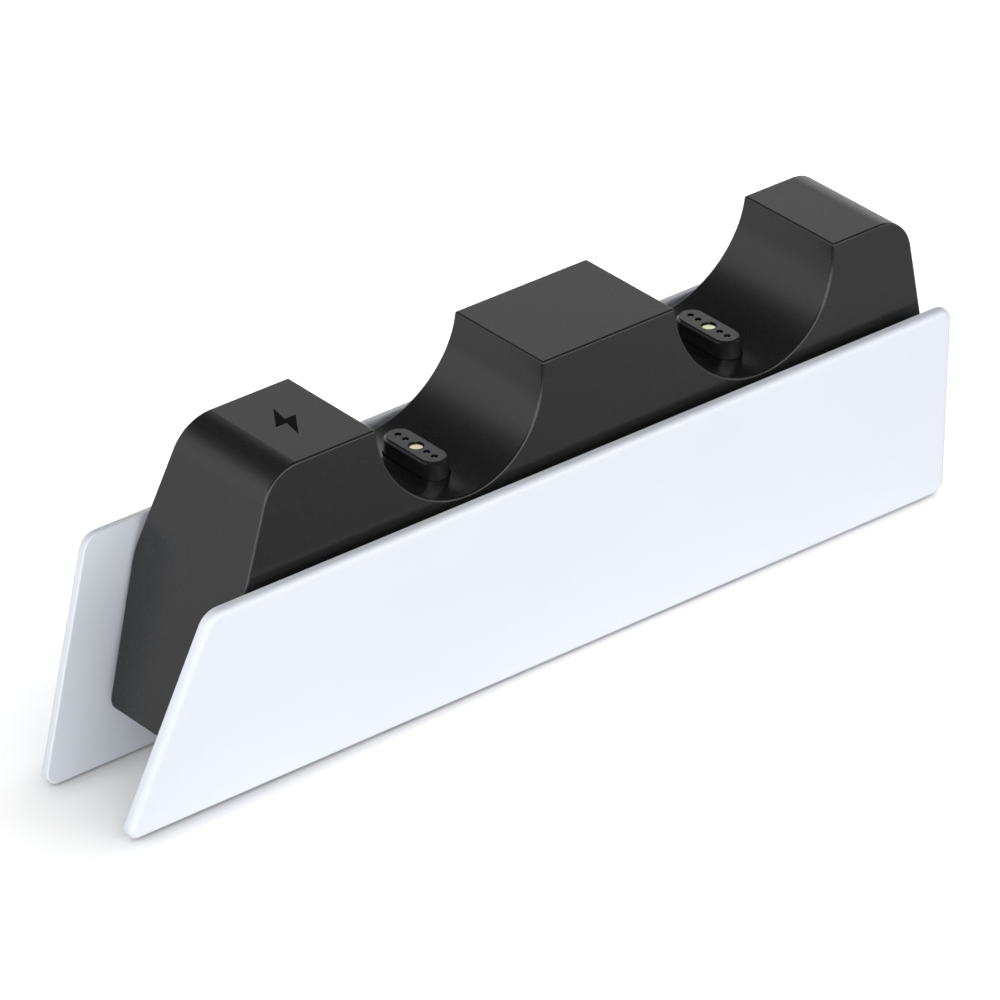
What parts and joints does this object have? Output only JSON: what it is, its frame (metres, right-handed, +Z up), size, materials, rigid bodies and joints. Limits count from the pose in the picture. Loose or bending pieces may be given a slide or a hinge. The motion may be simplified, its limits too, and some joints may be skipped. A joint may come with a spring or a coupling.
{
  "type": "controller charging dock",
  "caption": "Long desktop charging dock: a black housing with half-round cradles and sprung contact blocks, held between slanted white side panels.",
  "frame": {"origin": "on the table, under the middle of the bounding box", "axes": "+X along the dock towards the end with the supply inlet, +Y across it, +Z up"},
  "size_m": [0.219, 0.0426, 0.0713],
  "materials": {
    "housing": "satin black, finely textured",
    "base": "matt black",
    "block": "satin black",
    "panel": "soft gloss white",
    "foot": "matt",
    "steel": "plated",
    "tongue": "matt",
    "board": "solder mask",
    "chip": "moulded",
    "socket": "moulded nylon",
    "lead": "laminated",
    "gold": "gold plated",
    "pin": "plated",
    "spring": "drawn wire"
  },
  "bodies": {
    "dock": {"top_shell": "housing", "base_plate": "base", "contact_block_left": "block", "contact_block_right": "block", "front_panel": "panel", "rear_panel": "panel", "rubber_feet": "foot", "housing_screws": "steel", "main_board_screws": "steel", "contact_board_screws_left": "steel", "contact_board_screws_right": "steel", "inlet_shell": "steel", "inlet_tongue": "tongue", "main_board": "board", "contact_board_left": "board", "contact_board_right": "board", "main_board_parts": "chip", "lead_sockets_left": "socket", "lead_sockets_right": "socket", "flat_lead_left": "lead", "flat_lead_right": "lead", "centre_contact_left": "gold", "centre_contact_right": "gold", "pin_barrels_left": "gold", "pin_barrels_right": "gold", "pin_spring_left_1": "spring", "pin_spring_left_2": "spring", "pin_spring_left_3": "spring", "pin_spring_left_4": "spring", "pin_spring_right_1": "spring", "pin_spring_right_2": "spring", "pin_spring_right_3": "spring", "pin_spring_right_4": "spring"},
    "contact_pin_left_1": {"contact_pin_left_1": "pin"},
    "contact_pin_left_2": {"contact_pin_left_2": "pin"},
    "contact_pin_left_3": {"contact_pin_left_3": "pin"},
    "contact_pin_left_4": {"contact_pin_left_4": "pin"},
    "contact_pin_right_1": {"contact_pin_right_1": "pin"},
    "contact_pin_right_2": {"contact_pin_right_2": "pin"},
    "contact_pin_right_3": {"contact_pin_right_3": "pin"},
    "contact_pin_right_4": {"contact_pin_right_4": "pin"}
  },
  "joints": [
    {"name": "pin_press_left_1", "type": "slide", "parent": "dock", "child": "contact_pin_left_1", "axis": [0, 0, -1], "range_m": [0, 0.0008], "stiffness_N_per_m": 500, "springref_m": -0.0006, "deforming": ["pin_spring_left_1"]},
    {"name": "pin_press_left_2", "type": "slide", "parent": "dock", "child": "contact_pin_left_2", "axis": [0, 0, -1], "range_m": [0, 0.0008], "stiffness_N_per_m": 500, "springref_m": -0.0006, "deforming": ["pin_spring_left_2"]},
    {"name": "pin_press_left_3", "type": "slide", "parent": "dock", "child": "contact_pin_left_3", "axis": [0, 0, -1], "range_m": [0, 0.0008], "stiffness_N_per_m": 500, "springref_m": -0.0006, "deforming": ["pin_spring_left_3"]},
    {"name": "pin_press_left_4", "type": "slide", "parent": "dock", "child": "contact_pin_left_4", "axis": [0, 0, -1], "range_m": [0, 0.0008], "stiffness_N_per_m": 500, "springref_m": -0.0006, "deforming": ["pin_spring_left_4"]},
    {"name": "pin_press_right_1", "type": "slide", "parent": "dock", "child": "contact_pin_right_1", "axis": [0, 0, -1], "range_m": [0, 0.0008], "stiffness_N_per_m": 500, "springref_m": -0.0006, "deforming": ["pin_spring_right_1"]},
    {"name": "pin_press_right_2", "type": "slide", "parent": "dock", "child": "contact_pin_right_2", "axis": [0, 0, -1], "range_m": [0, 0.0008], "stiffness_N_per_m": 500, "springref_m": -0.0006, "deforming": ["pin_spring_right_2"]},
    {"name": "pin_press_right_3", "type": "slide", "parent": "dock", "child": "contact_pin_right_3", "axis": [0, 0, -1], "range_m": [0, 0.0008], "stiffness_N_per_m": 500, "springref_m": -0.0006, "deforming": ["pin_spring_right_3"]},
    {"name": "pin_press_right_4", "type": "slide", "parent": "dock", "child": "contact_pin_right_4", "axis": [0, 0, -1], "range_m": [0, 0.0008], "stiffness_N_per_m": 500, "springref_m": -0.0006, "deforming": ["pin_spring_right_4"]}
  ]
}
